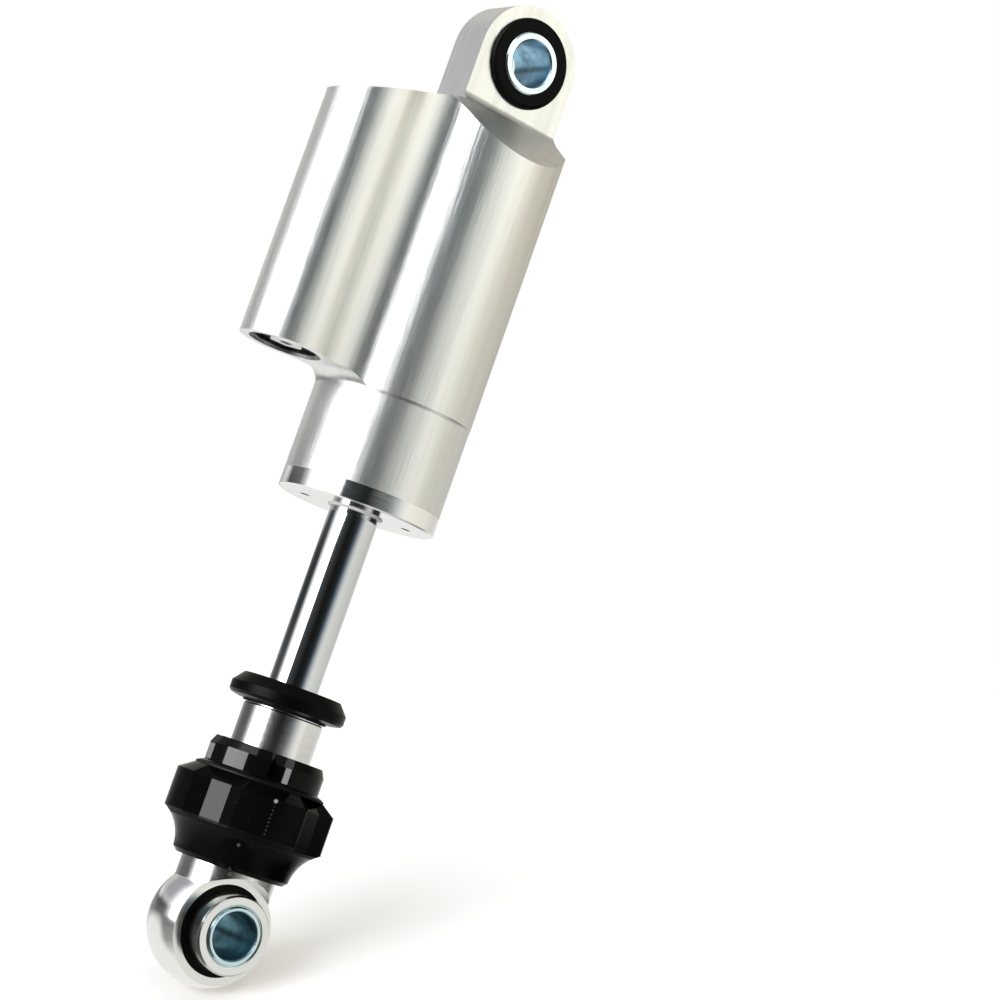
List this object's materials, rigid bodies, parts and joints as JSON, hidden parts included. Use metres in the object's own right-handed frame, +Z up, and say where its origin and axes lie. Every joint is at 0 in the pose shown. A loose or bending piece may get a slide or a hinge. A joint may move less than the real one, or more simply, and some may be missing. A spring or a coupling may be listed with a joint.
{
  "type": "scooter front shock absorber",
  "caption": "Slim front damper with a side gas reservoir, chromed rod, rubber bump stop, black adjuster knob and a rubber-bushed eye at each end; drawn fully extended.",
  "frame": {"origin": "centre of the bolt hole in the upper eye", "axes": "+Z up along the rod towards the upper eye, Y along both bolt holes with -Y at the front, and the gas reservoir on the -X side"},
  "size_m": [0.0585, 0.0356, 0.226],
  "materials": {
    "body_alloy": "silver anodised, brushed lengthwise",
    "turned_alloy": "silver anodised, turned",
    "black_alloy": "black anodised",
    "knob_black": "gloss black with white index marks",
    "rod_chrome": "hard chromed and polished",
    "zinc_sleeve": "pale blue zinc plating",
    "plain_steel": "ground",
    "spring_steel": "bright",
    "black_washer": "plain",
    "bush_rubber": "smooth moulded",
    "bump_rubber": "satin moulded",
    "seal_rubber": "oiled",
    "turned_brass": "turned",
    "bearing_bronze": "sintered, oiled"
  },
  "bodies": {
    "upper_mount": {"upper_sleeve": "zinc_sleeve"},
    "cylinder": {"upper_rubber_bush": "bush_rubber", "main_body": "body_alloy", "gland_head": "turned_alloy", "gland_o_ring": "seal_rubber", "rod_guide_bush": "bearing_bronze", "rod_seal": "seal_rubber", "rod_wiper": "seal_rubber", "reservoir_end_cap": "black_alloy", "end_cap_o_ring": "seal_rubber", "reservoir_circlip": "spring_steel", "gas_plug": "spring_steel"},
    "separator": {"floating_piston": "black_alloy", "floating_piston_ring": "seal_rubber"},
    "rod": {"piston_rod": "rod_chrome", "top_out_bumper": "bump_rubber", "top_out_plate": "plain_steel", "rebound_shims": "plain_steel", "piston": "turned_brass", "piston_band": "bearing_bronze", "compression_shims": "plain_steel", "piston_nut": "plain_steel", "bump_stop": "bump_rubber", "bump_washer": "black_washer", "rod_end": "turned_alloy", "detent_spring": "spring_steel", "index_pin": "plain_steel", "lower_rubber_bush": "bush_rubber", "knob_circlip": "spring_steel"},
    "knob": {"adjuster_knob": "knob_black", "knob_crown": "knob_black"},
    "needle": {"adjuster_spindle": "turned_brass", "drive_pin": "plain_steel", "needle_rod": "plain_steel", "spindle_o_ring": "seal_rubber"},
    "detent": {"detent_ball": "plain_steel"},
    "lower_mount": {"lower_sleeve": "zinc_sleeve", "front_spacer": "turned_alloy", "rear_spacer": "turned_alloy"}
  },
  "joints": [
    {"name": "upper_bush_twist", "type": "hinge", "parent": "upper_mount", "child": "cylinder", "pos_m": [0, 0, 0], "axis": [0, 1, 0], "range_deg": [-12, 12], "stiffness_Nm_per_rad": 6},
    {"name": "rod_slide", "type": "slide", "parent": "cylinder", "child": "rod", "axis": [0, 0, 1], "range_m": [0, 0.04], "stiffness_N_per_m": 400, "springref_m": -0.11},
    {"name": "separator_slide", "type": "slide", "parent": "cylinder", "child": "separator", "axis": [0, 0, -1], "range_m": [0, 0.0186]},
    {"name": "knob_turn", "type": "hinge", "parent": "rod", "child": "knob", "pos_m": [0, 0, -0.175], "axis": [0, 0, 1], "range_deg": [0, 120]},
    {"name": "needle_slide", "type": "slide", "parent": "knob", "child": "needle", "axis": [0, 0, 1], "range_m": [0, 0.00201]},
    {"name": "detent_slide", "type": "slide", "parent": "rod", "child": "detent", "axis": [-0.1736, 0.9848, 0], "range_m": [0, 0.0003], "stiffness_N_per_m": 300, "springref_m": 0.0006},
    {"name": "lower_bush_twist", "type": "hinge", "parent": "rod", "child": "lower_mount", "pos_m": [0, 0, -0.2], "axis": [0, 1, 0], "range_deg": [-12, 12], "stiffness_Nm_per_rad": 5}
  ],
  "couplings": [
    {"joint": "separator_slide", "follows": "rod_slide", "ratio": 0.46106},
    {"joint": "needle_slide", "follows": "knob_turn", "m_per_rad": 0.00095493}
  ]
}
